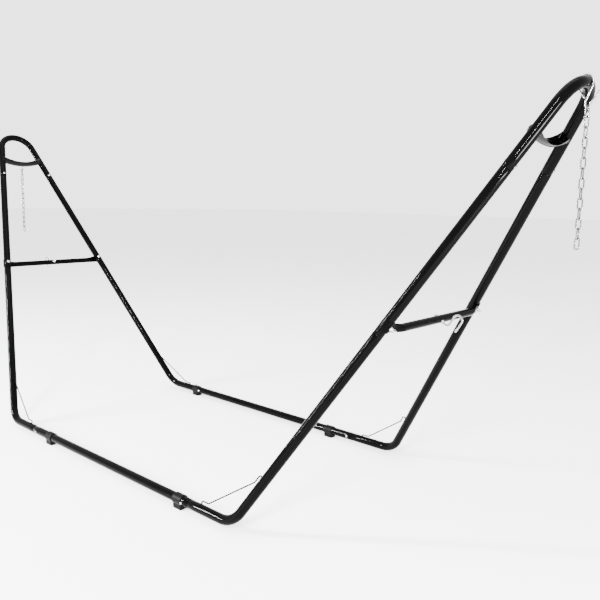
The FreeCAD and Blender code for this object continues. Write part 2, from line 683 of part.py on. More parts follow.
# ---- the whole stand -----------------------------------------------------------------------
def four_corners(shape):
    """A front right piece and its three mirror images, by corner name."""
    back = mirrored_y(shape)
    return {"right_front": shape, "right_back": back,
            "left_front": at_end(back, "left"), "left_back": at_end(shape, "left")}


def both_ends(shapes):
    """The right end's solids and their turned copies, as one group of separate solids."""
    return Part.makeCompound([at_end(shape, end) for end in ENDS for shape in shapes])


def end_nodes():
    """Pieces of which each end has one."""
    pieces = {"arch_tube": arch_tube(), "saddle": saddle(), "spreader_bar": spreader_bar(),
              "spreader_hook": spreader_hook()}
    return {f"{end}_{name}": at_end(shape, end) for end in ENDS for name, shape in pieces.items()}


def chain_nodes():
    """The right chain and its S-hook, and the left chain, whose top link lies in the saddle."""
    nodes = {"right_s_hook": s_hook()}
    for number, link in enumerate(right_chain(), start=1):
        nodes[f"right_chain_link_{number:02d}"] = hung_link(*link)
    nodes["left_chain_link_01"] = at_end(laid_link(), "left")
    for number, link in enumerate(left_chain(), start=2):
        nodes[f"left_chain_link_{number:02d}"] = at_end(hung_link(*link), "left")
    return nodes


def corner_nodes():
    """Pieces of which each corner has one, and the gusset rods as one group."""
    nodes = {}
    for name, shape in (("corner_tube", corner_tube()), ("upper_leg", upper_leg())):
        for corner, placed in four_corners(shape).items():
            nodes[f"{corner}_{name}"] = placed
    for corner in FOOT_X:
        nodes[f"{corner}_foot"] = foot(corner)
    rods = four_corners(gusset_rod())
    nodes["gusset_rods"] = Part.makeCompound(list(rods.values()))
    return nodes


def rail_nodes():
    rail = side_rail()
    return {"front_rail": rail, "back_rail": mirrored_y(rail)}


def fastener_nodes():
    """Identical fasteners, each kind as one group of separate solids."""
    bolts = [moved_by(spreader_bolt(side), PLANE) for side in SIGNS]
    wings = [moved_by(wing_nut(side), PLANE) for side in SIGNS]
    seats = [V(side * half_width(SPREADER_S), SPREADER_S, nut_seat()) for side in SIGNS]
    washers = [washer(seat, OUT, M8_R) for seat in seats]
    washers = [moved_by(shape, PLANE) for shape in washers + hook_washers()]
    joints = frame_joints()
    return {
        "spreader_bolts": both_ends(bolts),
        "wing_nuts": both_ends(wings),
        "washers": both_ends(washers),
        "hook_nuts": both_ends([moved_by(hook_nut(), PLANE)]),
        "hook_acorn_nuts": both_ends([moved_by(acorn_nut(), PLANE)]),
        "frame_bolts": both_ends([frame_bolt(*joint) for joint in joints]),
        "frame_nuts": both_ends([frame_nut(joint[0], joint[1]) for joint in joints]),
    }


def all_nodes():
    nodes = {}
    for group in (end_nodes(), chain_nodes(), corner_nodes(), rail_nodes(), fastener_nodes()):
        nodes.update(group)
    return nodes


def main():
    os.makedirs("parts", exist_ok=True)
    for name, shape in all_nodes().items():
        if not shape.isValid():
            print("invalid shape:", name)
        shape.exportStep(f"parts/{name}.step")


if __name__ == "__main__":
    main()
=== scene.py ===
import math

import bmesh
import bpy
import numpy as np
from mathutils import Matrix

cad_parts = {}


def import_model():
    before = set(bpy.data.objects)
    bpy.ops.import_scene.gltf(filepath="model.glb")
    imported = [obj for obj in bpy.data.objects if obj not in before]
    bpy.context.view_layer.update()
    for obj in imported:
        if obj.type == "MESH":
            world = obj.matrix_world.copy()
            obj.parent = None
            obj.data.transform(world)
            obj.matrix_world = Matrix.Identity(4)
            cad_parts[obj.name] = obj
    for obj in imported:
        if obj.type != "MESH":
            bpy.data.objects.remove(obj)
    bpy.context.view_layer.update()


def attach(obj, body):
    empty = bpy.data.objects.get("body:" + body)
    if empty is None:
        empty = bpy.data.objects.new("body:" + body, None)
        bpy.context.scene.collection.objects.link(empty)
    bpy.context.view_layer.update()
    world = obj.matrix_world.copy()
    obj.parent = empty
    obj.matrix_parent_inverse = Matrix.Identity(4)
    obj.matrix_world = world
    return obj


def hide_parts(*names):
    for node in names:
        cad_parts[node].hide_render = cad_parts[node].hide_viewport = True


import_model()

MM = 0.001

# ---- sizes in millimetres, as in part.py ----------------------------------------------------
CORNER_X, RAIL_Y, RAIL_Z = 919.0, 570.0, 38.0
RAKE, SPLAY = math.radians(32.0), math.radians(13.75)
ARCH_R, BEND_R = 111.0, 120.0
TUBE_R, TUBE_WALL = 21.0, 2.0
RAIL_SEAM_X, RAIL_BOLT_IN = 662.0, 35.0
SPREADER_S, LEG_SEAM_BELOW = 1002.0, 45.0
ARCH_SEAM_BELOW, ARCH_BOLT_UP = 241.8, 19.0
BAR_R, BAR_N, CUP_T, CUP_GAP, CUP_TALL, CUP_HALF_ANGLE = 16.0, 31.0, 4.0, 0.1, 48.0, 68.0
NECK_LEN, NECK_IN, NECK_TALL, NECK_THICK, NECK_SINK = 62.0, 11.5, 21.6, 3.6, 2.4
SADDLE_BELOW, SADDLE_T, SADDLE_END_IN, SLOT_LEN, SLOT_WIDTH = 187.4, 3.0, 8.4, 32.0, 7.0
SADDLE_MID = ((-21.0, -24.0), (4.0, -41.0), (31.0, -25.0))
SADDLE_END = ((-17.0, 16.0), (0.0, -24.0), (17.0, 8.0))
ROD_R, ROD_BEND_R, ROD_LIFT, ROD_DEPTH = 3.2, 9.0, 34.0, 14.7
ROD_RAIL_END, ROD_RAIL_KINK, ROD_LEG_KINK, ROD_LEG_END = 192.0, 151.0, 200.0, 240.0
FOOT_LEN, FOOT_WIDTH, FOOT_BAND_T, FOOT_GAP, FOOT_SPLIT, FOOT_CORNER_R = 54.0, 40.0, 4.2, 0.1, 2.0, 5.0
FOOT_EDGE_R, TREAD_DEPTH, TREADS = 1.3, 1.6, 4
FOOT_X = {"right_front": 592.0, "left_front": -500.0, "right_back": 494.0, "left_back": -662.0}
S_WIRE_R, S_GAP, S_BIGHT_X, S_BIGHT_Z, S_BIGHT_R = 3.0, 0.3, 12.0, -80.0, 8.0
M8_R, M8_HEAD_R, M8_HEAD_H, M8_HEAD_SINK, M8_TAIL = 4.0, 9.5, 5.0, 1.5, 5.0
M6_R, M6_HEAD_R, M6_HEAD_H, M6_HEAD_SINK, M6_TAIL = 3.0, 6.6, 3.8, 0.8, 1.5
HEX8_AF, HEX8_H, HEX6_AF, HEX6_H, THREAD_GAP, SEAT = 13.0, 6.4, 10.0, 5.0, 0.03, 0.4
WASHER_R, WASHER_T, WASHER_BORE, WING_BODY_H = 9.0, 1.6, 4.2, 9.0
BAR_HOOK_OUT, BAR_HOOK_RISE, BAR_HOOK_GAP, BAR_HOOK_TIP, BAR_HOOK_BEND_R = 78.0, 66.0, 36.0, 6.0, 14.0
HOOK_IN_ACORN, HOOK_THREAD_OUT = 8.0, 7.0
LAID_GAP, LAID_TILT = 0.8, math.radians(2.5)
LINKS, LINK_INSIDE, LINK_WIRE_R, LINK_BEND_R, LINK_GAP, HOOK_LINK_GAP = 14, 33.0, 2.5, 7.5, 0.2, 0.5
FIRST_LINK_TURN, SLOT_LINK_TURN, LINK_TWIST, LINK_TWIST_MAX = 70.0, 90.0, 3.0, 17.0

SIN_R, COS_R = math.sin(RAKE), math.cos(RAKE)
TAN_SPLAY = math.tan(SPLAY)
ARCH_TANGENT_S = (RAIL_Y - ARCH_R * math.cos(SPLAY)) / TAN_SPLAY
CROWN_S = ARCH_TANGENT_S + ARCH_R * (1.0 - math.sin(SPLAY))
LEG_SEAM_S = SPREADER_S - LEG_SEAM_BELOW
ARCH_SEAM_S = ARCH_TANGENT_S - ARCH_SEAM_BELOW
SADDLE_S = CROWN_S - SADDLE_BELOW
CUP_IN_R = TUBE_R + CUP_GAP
CUP_OUT_R = CUP_IN_R + CUP_T
NUT_SEAT = CUP_OUT_R + SEAT

RIGHT, LEFT = (1, 1), (-1, -1)
ENDS = {"right": RIGHT, "left": LEFT}
CORNERS = {"right_front": (1, 1), "right_back": (1, -1), "left_front": (-1, 1), "left_back": (-1, -1)}


def vec(*xyz):
    return np.array(xyz, float)


def unit(v):
    return v / np.linalg.norm(v)


def world(p):
    """Point in the leaning plane's axes (y, s, n), in the stand's axes, right end."""
    p = np.asarray(p, float)
    y, s, n = p[..., 0], p[..., 1], p[..., 2]
    return np.stack([CORNER_X + s * SIN_R + n * COS_R, y, RAIL_Z + s * COS_R - n * SIN_R], -1)


def half_width(s):
    return RAIL_Y - s * TAN_SPLAY


LEG_DIR = vec(math.sin(SPLAY), math.cos(SPLAY), 0)
OUT = vec(0, 0, 1)
ORIGIN_W = world(vec(0, 0, 0))
LEG_W = world(LEG_DIR) - ORIGIN_W
OUT_W = world(OUT) - ORIGIN_W
CROWN = world(vec(0, CROWN_S, 0))


def leg_point(s):
    return vec(-half_width(s), s, 0)


def on_side(side, v):
    return vec(-side * v[0], v[1], v[2])


# ---- camera ---------------------------------------------------------------------------------
CAMERA_AT = (2.773946, -2.28737, 1.31997)
CAMERA_TURN = (0.72329, 0.14812, 0.01905)
CAMERA_LENS = 40.3617


def place_camera():
    """The view from in front of the right end, across the stand to its left end."""
    yaw, pitch, roll = CAMERA_TURN
    ahead = vec(-math.sin(yaw) * math.cos(pitch), math.cos(yaw) * math.cos(pitch), -math.sin(pitch))
    level = vec(math.cos(yaw), math.sin(yaw), 0)
    above = np.cross(level, ahead)
    right = math.cos(roll) * level + math.sin(roll) * above
    up = -math.sin(roll) * level + math.cos(roll) * above
    data = bpy.data.cameras.new("view")
    data.sensor_width = 36.0
    data.lens = CAMERA_LENS
    data.clip_end = 400.0
    camera = bpy.data.objects.new("view", data)
    bpy.context.scene.collection.objects.link(camera)
    turn = Matrix((right, up, -ahead)).transposed().to_4x4()
    turn.translation = CAMERA_AT
    camera.matrix_world = turn
    bpy.context.scene.camera = camera


place_camera()


# ---- materials ------------------------------------------------------------------------------
class Nodes:
    """A material under construction: object-space coordinates, noise and a Principled shader."""

    def __init__(self, name, base, rough, metal=0.0, level=0.5, coat=0.0, coat_rough=0.05):
        self.material = bpy.data.materials.new(name)
        self.material.use_nodes = True
        self.tree = self.material.node_tree
        self.shader = self.tree.nodes["Principled BSDF"]
        self.shader.inputs["Base Color"].default_value = (*base, 1.0)
        self.shader.inputs["Roughness"].default_value = rough
        self.shader.inputs["Metallic"].default_value = metal
        self.shader.inputs["Specular IOR Level"].default_value = level
        self.shader.inputs["Coat Weight"].default_value = coat
        self.shader.inputs["Coat Roughness"].default_value = coat_rough
        self.where = self.tree.nodes.new("ShaderNodeTexCoord").outputs["Object"]
        self.bump_out = None

    def noise(self, scale, detail=3.0, rough=0.55, stretch=None):
        where = self.where
        if stretch:
            mapping = self.tree.nodes.new("ShaderNodeMapping")
            mapping.inputs["Scale"].default_value = stretch
            self.tree.links.new(where, mapping.inputs["Vector"])
            where = mapping.outputs["Vector"]
        node = self.tree.nodes.new("ShaderNodeTexNoise")
        node.inputs["Scale"].default_value = scale
        node.inputs["Detail"].default_value = detail
        node.inputs["Roughness"].default_value = rough
        self.tree.links.new(where, node.inputs["Vector"])
        return node.outputs["Fac"]

    def cells(self, scale, feature="F1"):
        node = self.tree.nodes.new("ShaderNodeTexVoronoi")
        node.inputs["Scale"].default_value = scale
        node.feature = feature
        self.tree.links.new(self.where, node.inputs["Vector"])
        return node.outputs["Distance"]

    def ramp(self, value, stops):
        node = self.tree.nodes.new("ShaderNodeValToRGB")
        ramp = node.color_ramp
        while len(ramp.elements) < len(stops):
            ramp.elements.new(0.5)
        for element, (at, colour) in zip(ramp.elements, stops):
            element.position = at
            if not isinstance(colour, tuple):
                colour = (colour,) * 3
            element.color = (*colour, 1.0)
        self.tree.links.new(value, node.inputs["Fac"])
        return node.outputs["Color"]

    def math(self, operation, a, b):
        node = self.tree.nodes.new("ShaderNodeMath")
        node.operation = operation
        for socket, value in zip(node.inputs, (a, b)):
            if isinstance(value, (int, float)):
                socket.default_value = value
            else:
                self.tree.links.new(value, socket)
        return node.outputs["Value"]

    def mix(self, factor, a, b):
        node = self.tree.nodes.new("ShaderNodeMix")
        node.data_type = "RGBA"
        self.tree.links.new(factor, node.inputs["Factor"])
        for socket, value in ((node.inputs[6], a), (node.inputs[7], b)):
            if isinstance(value, tuple):
                socket.default_value = (*value, 1.0)
            else:
                self.tree.links.new(value, socket)
        return node.outputs[2]

    def edge_wear(self, low, high):
        """0 on flats, rising to 1 on convex edges."""
        node = self.tree.nodes.new("ShaderNodeNewGeometry")
        return self.ramp(node.outputs["Pointiness"], [(low, 0.0), (high, 1.0)])

    def colour(self, value):
        self.tree.links.new(value, self.shader.inputs["Base Color"])

    def roughness(self, value):
        self.tree.links.new(value, self.shader.inputs["Roughness"])

    def bump(self, height, distance, strength=1.0):
        """Layers a bump on any bump already there."""
        node = self.tree.nodes.new("ShaderNodeBump")
        node.inputs["Distance"].default_value = distance
        node.inputs["Strength"].default_value = strength
        self.tree.links.new(height, node.inputs["Height"])
        if self.bump_out is not None:
            self.tree.links.new(self.bump_out, node.inputs["Normal"])
        self.bump_out = node.outputs["Normal"]
        for socket in ("Normal", "Coat Normal"):
            self.tree.links.new(self.bump_out, self.shader.inputs[socket])
        return self


def powder_coat(name, shade=0.0005, rough=0.06, level=0.026):
    """Gloss black powder coat: faint orange peel, cloudiness and a little settled dust."""
    m = Nodes(name, (shade,) * 3, rough, level=level)
    cloud = m.noise(9.0, 4.0)
    dust = m.ramp(m.noise(260.0, 6.0, 0.7), [(0.66, 0.0), (0.80, 1.0)])
    base = m.ramp(cloud, [(0.35, (shade * 0.75, shade * 0.75, shade * 0.8)),
                          (0.70, (shade * 1.25, shade * 1.25, shade * 1.3))])
    m.colour(m.mix(dust, base, (shade * 3.0, shade * 2.9, shade * 2.8)))
    m.roughness(m.ramp(m.noise(38.0, 5.0), [(0.30, rough * 0.8), (0.72, rough * 1.3)]))
    m.bump(m.noise(420.0, 2.0, 0.5), 0.00008, 0.03)
    m.bump(m.noise(45.0, 2.0, 0.5), 0.0003, 0.02)
    return m.material


def zinc(name, bright=(0.72, 0.73, 0.75), rough=0.24, spangle=0.5):
    """Bright zinc plate: slight blue and straw tints, and fine scuffs that dull it darker."""
    m = Nodes(name, bright, rough, metal=1.0)
    tint = m.noise(90.0, 4.0, 0.6)
    cool = tuple(c * k for c, k in zip(bright, (0.93, 0.97, 1.04)))
    warm = tuple(c * k for c, k in zip(bright, (1.06, 1.02, 0.93)))
    dull = tuple(c * 0.62 for c in bright)
    colour = m.mix(m.ramp(tint, [(0.36, 0.0), (0.64, 1.0)]), cool, warm)
    scuff = m.ramp(m.noise(900.0, 5.0, 0.65), [(0.56, 0.0), (0.74, 1.0)])
    m.colour(m.mix(m.math("MULTIPLY", scuff, spangle), colour, dull))
    m.roughness(m.ramp(m.noise(420.0, 4.0, 0.6), [(0.30, rough * 0.7), (0.75, rough * 1.6)]))
    m.bump(m.noise(1500.0, 3.0, 0.6), 0.00008, 0.25)
    return m.material


def moulded(name, shade=0.0013, rough=0.42):
    """Black moulded plastic with a fine spark-eroded grain and paler scuffs on its edges."""
    m = Nodes(name, (shade,) * 3, rough, level=0.035)
    grain = m.cells(1900.0)
    wear = m.edge_wear(0.52, 0.60)
    patch = m.noise(30.0, 5.0, 0.6)
    base = m.ramp(patch, [(0.30, (shade * 0.8,) * 3), (0.75, (shade * 1.35,) * 3)])
    m.colour(m.mix(m.math("MULTIPLY", wear, 0.45), base, (shade * 3.4, shade * 3.3, shade * 3.2)))
    m.roughness(m.ramp(m.noise(140.0, 4.0), [(0.3, rough * 0.85), (0.7, rough * 1.2)]))
    m.bump(grain, 0.00012, 0.35)
    return m.material


COAT = powder_coat("tube_coating")
BAR_COAT = powder_coat("spreader_coating", shade=0.0005, rough=0.08, level=0.016)
SADDLE_COAT = powder_coat("saddle_coating", shade=0.0006, rough=0.09, level=0.09)
ROD_COAT = powder_coat("rod_coating", shade=0.0006, rough=0.26, level=0.02)
PLASTIC = moulded("foot_plastic")
CHAIN_ZINC = zinc("chain_zinc", (0.115, 0.117, 0.12), 0.2)
HOOK_ZINC = zinc("hook_zinc", (0.25, 0.253, 0.257), 0.18)
BOLT_ZINC = zinc("fastener_zinc", (0.40, 0.405, 0.41), 0.2)
NICKEL = zinc("nut_chrome", (0.60, 0.60, 0.59), 0.12, spangle=0.3)
BODY = "frame"


# ---- mesh code ------------------------------------------------------------------------------
def piece(name, verts, faces, material, body, place=RIGHT, nodes=(), crease=38.0, weld=True):
    """One named mesh from points in millimetres; place mirrors it in X and Y for its corner."""
    sx, sy = place
    verts = np.asarray(verts, float) * (sx * MM, sy * MM, MM)
    if sx * sy < 0:
        faces = [tuple(reversed(f)) for f in faces]
    mesh = bpy.data.meshes.new(name)
    mesh.from_pydata([tuple(v) for v in verts], [], [tuple(f) for f in faces])
    work = bmesh.new()
    work.from_mesh(mesh)
    if weld:
        bmesh.ops.remove_doubles(work, verts=work.verts, dist=1e-6)
    work.to_mesh(mesh)
    work.free()
    mesh.validate()
    mesh.shade_smooth()
    mesh.set_sharp_from_angle(angle=math.radians(crease))
    mesh.materials.append(material)
    obj = bpy.data.objects.new(name, mesh)
    bpy.context.scene.collection.objects.link(obj)
    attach(obj, body)
    if nodes:
        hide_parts(*nodes)
    return obj


class Shape:
    """Points and faces gathered from several surfaces."""

    def __init__(self):
        self.verts, self.faces, self.count = [], [], 0

    def add(self, verts, faces):
        verts = np.asarray(verts, float).reshape(-1, 3)
        self.faces += [tuple(i + self.count for i in f) for f in faces]
        self.verts.append(verts)
        self.count += len(verts)
        return self

    def grid(self, points, around=True, caps=(False, False)):
        """A surface through rows of points; around joins each row's last point to its first."""
        points = np.asarray(points, float)
        rows, cols = points.shape[:2]
        faces = []
        for i in range(rows - 1):
            for j in range(cols if around else cols - 1):
                k = (j + 1) % cols
                faces.append((i * cols + j, i * cols + k, (i + 1) * cols + k, (i + 1) * cols + j))
        if caps[0]:
            faces.append(tuple(reversed(range(cols))))
        if caps[1]:
            faces.append(tuple(range((rows - 1) * cols, rows * cols)))
        return self.add(points.reshape(-1, 3), faces)

    def all_verts(self):
        return np.concatenate(self.verts)


class Route:
    """A planar centreline: straight runs with tangent arcs, read off by distance along it."""

    def __init__(self, points, radii, arc_step=3.0):
        points = [np.asarray(p, float) for p in points]
        line = [points[0]]
        normal = vec(0, 0, 0)
        for before, corner, after, radius in zip(points, points[1:], points[2:], radii):
            inward, onward = unit(before - corner), unit(after - corner)
            cross = np.cross(corner - before, after - corner)
            if np.linalg.norm(cross) > 1e-6 and np.linalg.norm(normal) < 0.5:
                normal = unit(cross)
            half = math.acos(np.clip(inward @ onward, -1, 1)) / 2
            reach = radius / math.tan(half)
            centre = corner + unit(inward + onward) * (radius / math.sin(half))
            start, end = corner + inward * reach, corner + onward * reach
            sweep = math.pi - 2 * half
            steps = max(4, int(math.degrees(sweep) / arc_step))
            u, w = unit(start - centre), unit(start - corner) * -1.0
            for k in range(steps + 1):
                a = sweep * k / steps
                line.append(centre + radius * (u * math.cos(a) + w * math.sin(a)))
            assert np.linalg.norm(line[-1] - end) < 0.01
        line.append(points[-1])
        self.line = np.array(line)
        gaps = np.linalg.norm(np.diff(self.line, axis=0), axis=1)
        keep = np.concatenate([[True], gaps > 1e-6])
        self.line = self.line[keep]
        gaps = np.linalg.norm(np.diff(self.line, axis=0), axis=1)
        self.along = np.concatenate([[0], np.cumsum(gaps)])
        self.length = self.along[-1]
        self.normal = normal if np.linalg.norm(normal) > 0.5 else None
        self.tangents = np.gradient(self.line, self.along, axis=0)
        self.tangents[0] = self.line[1] - self.line[0]
        self.tangents[-1] = self.line[-1] - self.line[-2]

    def at(self, d):
        here = np.array([np.interp(d, self.along, self.line[:, k]) for k in range(3)])
        ahead = unit(np.array([np.interp(d, self.along, self.tangents[:, k]) for k in range(3)]))
        if d < 0:
            here = self.line[0] + ahead * d
        elif d > self.length:
            here = self.line[-1] + ahead * (d - self.length)
        return here, ahead

    def stops(self, low=0.0, high=None, gap=60.0):
        """The line's own distances between low and high, with straight runs divided."""
        high = self.length if high is None else high
        marks = [low] + [d for d in self.along if low + 0.3 < d < high - 0.3] + [high]
        out = []
        for a, b in zip(marks, marks[1:]):
            steps = max(1, int((b - a) / gap))
            out += [a + (b - a) * k / steps for k in range(steps)]
        return out + [high]


def tube_rows(route, stations, sides=40, normal=None):
    """Rings round a route. A station is (distance, radius)."""
    side_axis = normal if normal is not None else route.normal
    turn = np.arange(sides) * 2 * math.pi / sides
    rows = []
    for d, radius in stations:
        here, ahead = route.at(d)
        a = unit(side_axis - ahead * (side_axis @ ahead))
        b = np.cross(ahead, a)
        rows.append(here + (np.cos(turn) * radius)[:, None] * a + (np.sin(turn) * radius)[:, None] * b)
    return rows


def hollow_tube(route, ends, radius=TUBE_R, sides=56, gap=40.0):
    """A tube along its whole route. Each end is "open", or "swaged" into the next tube."""
    start, finish = ends
    low, high = 0.0, route.length
    stations = []
    if start == "open":
        stations += [(12.0, radius - TUBE_WALL), (low, radius - TUBE_WALL), (low, radius - 0.7),
                     (low + 0.2, radius - 0.25), (low + 0.7, radius)]
        low += 0.7
    else:
        stations += [(low - 9.0, radius - TUBE_WALL - 0.3), (low + 0.1, radius - TUBE_WALL - 0.2),
                     (low + 0.35, radius - 1.3), (low + 1.1, radius - 0.4), (low + 2.4, radius)]
        low += 2.4
    if finish == "open":
        tail = [(high - 0.7, radius), (high - 0.2, radius - 0.25), (high, radius - 0.7),
                (high, radius - TUBE_WALL), (high - 12.0, radius - TUBE_WALL)]
        high -= 0.7
    else:
        tail = [(high - 2.4, radius), (high - 1.1, radius - 0.4), (high - 0.35, radius - 1.3),
                (high - 0.1, radius - TUBE_WALL - 0.2), (high + 9.0, radius - TUBE_WALL - 0.3)]
        high -= 2.4
    middle = [(d, radius) for d in route.stops(low, high, gap)[1:-1]]
    return tube_rows(route, stations + middle + tail, sides)


def lathe(axis_point, axis, profile, sides=32, shape=None, up=None):
    """Rings round an axis. profile lists (height, radius); shape(angles, index) scales a ring."""
    axis = unit(axis)
    a = unit(np.cross(axis, up if up is not None else (vec(0, 0, 1) if abs(axis[2]) < 0.9 else vec(1, 0, 0))))
    b = np.cross(axis, a)
    turn = np.arange(sides) * 2 * math.pi / sides
    rows = []
    for index, (height, radius) in enumerate(profile):
        share = np.ones(sides) if shape is None else shape(turn, index)
        ring = axis_point + axis * height + (np.cos(turn) * radius * share)[:, None] * a \
            + (np.sin(turn) * radius * share)[:, None] * b
        rows.append(ring)
    return rows


def hex_share(turn):
    """Distance from a hexagon's centre to its outline, over its corner distance."""
    step = (turn + math.pi / 6) % (math.pi / 3) - math.pi / 6
    return math.cos(math.pi / 6) / np.cos(math.pi / 6 - np.abs(step))


def thread(start, axis, radius, length, pitch, sides=24, depth=0.36, tip=1.0):
    """A helical thread as a grid of rings that rise and fall round the axis."""
    axis = unit(axis)
    a = unit(np.cross(axis, vec(0, 0, 1) if abs(axis[2]) < 0.9 else vec(1, 0, 0)))
    b = np.cross(axis, a)
    turn = np.arange(sides) * 2 * math.pi / sides
    rows = []
    steps = max(8, int(length / pitch * 6))
    for k in range(steps + 1):
        h = length * k / steps
        wave = np.abs(((h / pitch - turn / (2 * math.pi)) % 1.0) * 2 - 1)
        fade = min(1.0, (length - h) / tip) if tip else 1.0
        r = (radius - depth * wave * min(1.0, fade + 0.2)) - (1 - fade) * 0.7
        rows.append(start + axis * h + (np.cos(turn) * r)[:, None] * a + (np.sin(turn) * r)[:, None] * b)
    return rows


# ---- frame tubes ----------------------------------------------------------------------------
def tube_piece(name, route, ends, place, node):
    shape = Shape().grid(hollow_tube(route, ends))
    return piece(name, shape.all_verts(), shape.faces, COAT, BODY, place, [node])


def straight_route(start, end, normal):
    route = Route([start, end], [])
    route.normal = normal
    return route


def frame_tubes():
    corner = vec(CORNER_X, -RAIL_Y, RAIL_Z)
    stub = vec(RAIL_SEAM_X, -RAIL_Y, RAIL_Z)
    top = world(leg_point(LEG_SEAM_S))
    corner_route = Route([stub, corner, top], [BEND_R], arc_step=2.0)
    leg_route = straight_route(top, world(leg_point(ARCH_SEAM_S)), OUT_W)
    for name, place in CORNERS.items():
        tube_piece(f"{name}_lower_tube", corner_route, ("swaged", "swaged"), place, f"{name}_corner_tube")
        tube_piece(f"{name}_upper_tube", leg_route, ("open", "swaged"), place, f"{name}_upper_leg")
    for name, place in (("front", (1, 1)), ("back", (1, -1))):
        left, right = vec(-RAIL_SEAM_X, -RAIL_Y, RAIL_Z), vec(RAIL_SEAM_X, -RAIL_Y, RAIL_Z)
        rail = straight_route(left, right, vec(0, 0, 1))
        tube_piece(f"{name}_side_rail", rail, ("open", "open"), place, f"{name}_rail")
    foot = leg_point(ARCH_SEAM_S)
    apex = vec(0, ARCH_TANGENT_S + half_width(ARCH_TANGENT_S) / TAN_SPLAY, 0)
    arch_route = Route([world(foot), world(apex), world(on_side(1, foot))], [ARCH_R], arc_step=1.6)
    for name, place in ENDS.items():
        tube_piece(f"{name}_arch", arch_route, ("open", "open"), place, f"{name}_arch_tube")


# ---- gusset rods ----------------------------------------------------------------------------
def gusset_rods():
    corner = vec(CORNER_X, -RAIL_Y, RAIL_Z)
    along = vec(1, 0, 0)
    square = unit(LEG_W - along * (along @ LEG_W))
    turn = math.acos(math.cos(SPLAY) * math.sin(RAKE))
    inward = unit(square * math.cos(turn) - along * math.sin(turn))
    rail_end, rail_kink = corner - along * ROD_RAIL_END, corner - along * ROD_RAIL_KINK
    leg_kink, leg_end = corner + LEG_W * ROD_LEG_KINK, corner + LEG_W * ROD_LEG_END
    points = [rail_end + square * (ROD_DEPTH + 1), rail_end + square * ROD_LIFT,
              rail_kink + square * ROD_LIFT, leg_kink + inward * ROD_LIFT,
              leg_end + inward * ROD_LIFT, leg_end + inward * (ROD_DEPTH + 1)]
    route = Route(points, [ROD_BEND_R] * 4, arc_step=5.0)
    for name, place in CORNERS.items():
        rings = tube_rows(route, [(d, ROD_R) for d in route.stops(gap=20.0)], 20)
        shape = Shape().grid(rings, caps=(True, True))
        for base, direction in ((rail_end, square), (leg_end, inward)):
            # paint fillet where the rod enters its hole
            fillet = [(TUBE_R - 1.2, ROD_R + 1.9), (TUBE_R - 0.1, ROD_R + 1.5), (TUBE_R + 0.7, ROD_R + 0.7),
                      (TUBE_R + 1.6, ROD_R + 0.1), (TUBE_R + 1.7, ROD_R - 0.4)]
            shape.grid(lathe(base, direction, fillet, 24))
        piece(f"{name}_gusset_rod", shape.all_verts(), shape.faces, ROD_COAT, BODY,
                          place, weld=False)
    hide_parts("gusset_rods")


# ---- saddle ---------------------------------------------------------------------------------
def arc_points(a, b, c, count):
    """Points (n, s) on the circle through three."""
    (ax, ay), (bx, by), (cx, cy) = a, b, c
    d = 2 * (ax * (by - cy) + bx * (cy - ay) + cx * (ay - by))
    ux = ((ax**2 + ay**2) * (by - cy) + (bx**2 + by**2) * (cy - ay) + (cx**2 + cy**2) * (ay - by)) / d
    uy = ((ax**2 + ay**2) * (cx - bx) + (bx**2 + by**2) * (ax - cx) + (cx**2 + cy**2) * (bx - ax)) / d
    r = math.hypot(ax - ux, ay - uy)
    t0, t1, t2 = (math.atan2(q[1] - uy, q[0] - ux) for q in (a, b, c))
    while t1 < t0:
        t1 += 2 * math.pi
    while t2 < t1:
        t2 += 2 * math.pi
    t = np.linspace(t0, t2, count)
    return np.stack([ux + r * np.cos(t), uy + r * np.sin(t)], 1), (ux, uy), r


def saddle_profile(share, count=26):
    """Closed outline (n, s) of the sheet at a station, its two lips rounded."""
    lower = [(m[0] + (e[0] - m[0]) * share, m[1] + (e[1] - m[1]) * share)
             for m, e in zip(SADDLE_MID, SADDLE_END)]
    belly, centre, radius = arc_points(*lower, count)
    centre = np.array(centre)
    inner = centre + (belly - centre) * (1 - SADDLE_T / radius)
    half = SADDLE_T / 2

    def lip(p_from, p_to, outward):
        mid = (p_from + p_to) / 2
        pts = []
        for k in range(1, 6):
            a = math.pi * k / 6
            pts.append(mid + (p_from - mid) * math.cos(a) + outward * half * 0.9 * math.sin(a))
        return pts

    out_c = unit(belly[-1] - belly[-2])
    out_a = unit(belly[0] - belly[1])
    # the lips stay within the sheet's own length
    belly[-1] = belly[-1] - out_c * half
    inner[-1] = inner[-1] - out_c * half
    belly[0] = belly[0] - out_a * half
    inner[0] = inner[0] - out_a * half
    ring = list(belly) + lip(belly[-1], inner[-1], out_c) + list(inner[::-1]) + lip(inner[0], belly[0], out_a)
    return np.array(ring)


def saddle_pieces():
    reach = half_width(SADDLE_S) - SADDLE_END_IN
    for name, place in ENDS.items():
        rows = []
        shares = [math.sin(t) for t in np.linspace(-math.pi / 2, math.pi / 2, 45)]
        for t in shares:
            ring = saddle_profile(t * t)
            row = []
            for n, s in ring:
                s_abs = SADDLE_S + s
                room = max(TUBE_R**2 - n * n, 0.0)
                y_max = half_width(s_abs) - math.sqrt(room) / math.cos(SPLAY) + 0.6
                y = np.sign(t) * min(abs(reach * t), y_max) if t else 0.0
                row.append(world(vec(y, s_abs, n)))
            rows.append(row)
        shape = Shape().grid(rows, caps=(True, True))
        trough = piece(f"{name}_chain_saddle", shape.all_verts(), shape.faces, SADDLE_COAT,
                       BODY, place, [f"{name}_saddle"], crease=50.0)
        cut_slot(trough, place)
        for side, word in ((-1, "front"), (1, "back")):
            for face in ("belly", "inner"):
                bead = saddle_weld(side, face)
                piece(f"{name}_{word}_saddle_weld_{face}", bead.all_verts(), bead.faces, SADDLE_COAT,
                      BODY, place, crease=60.0)


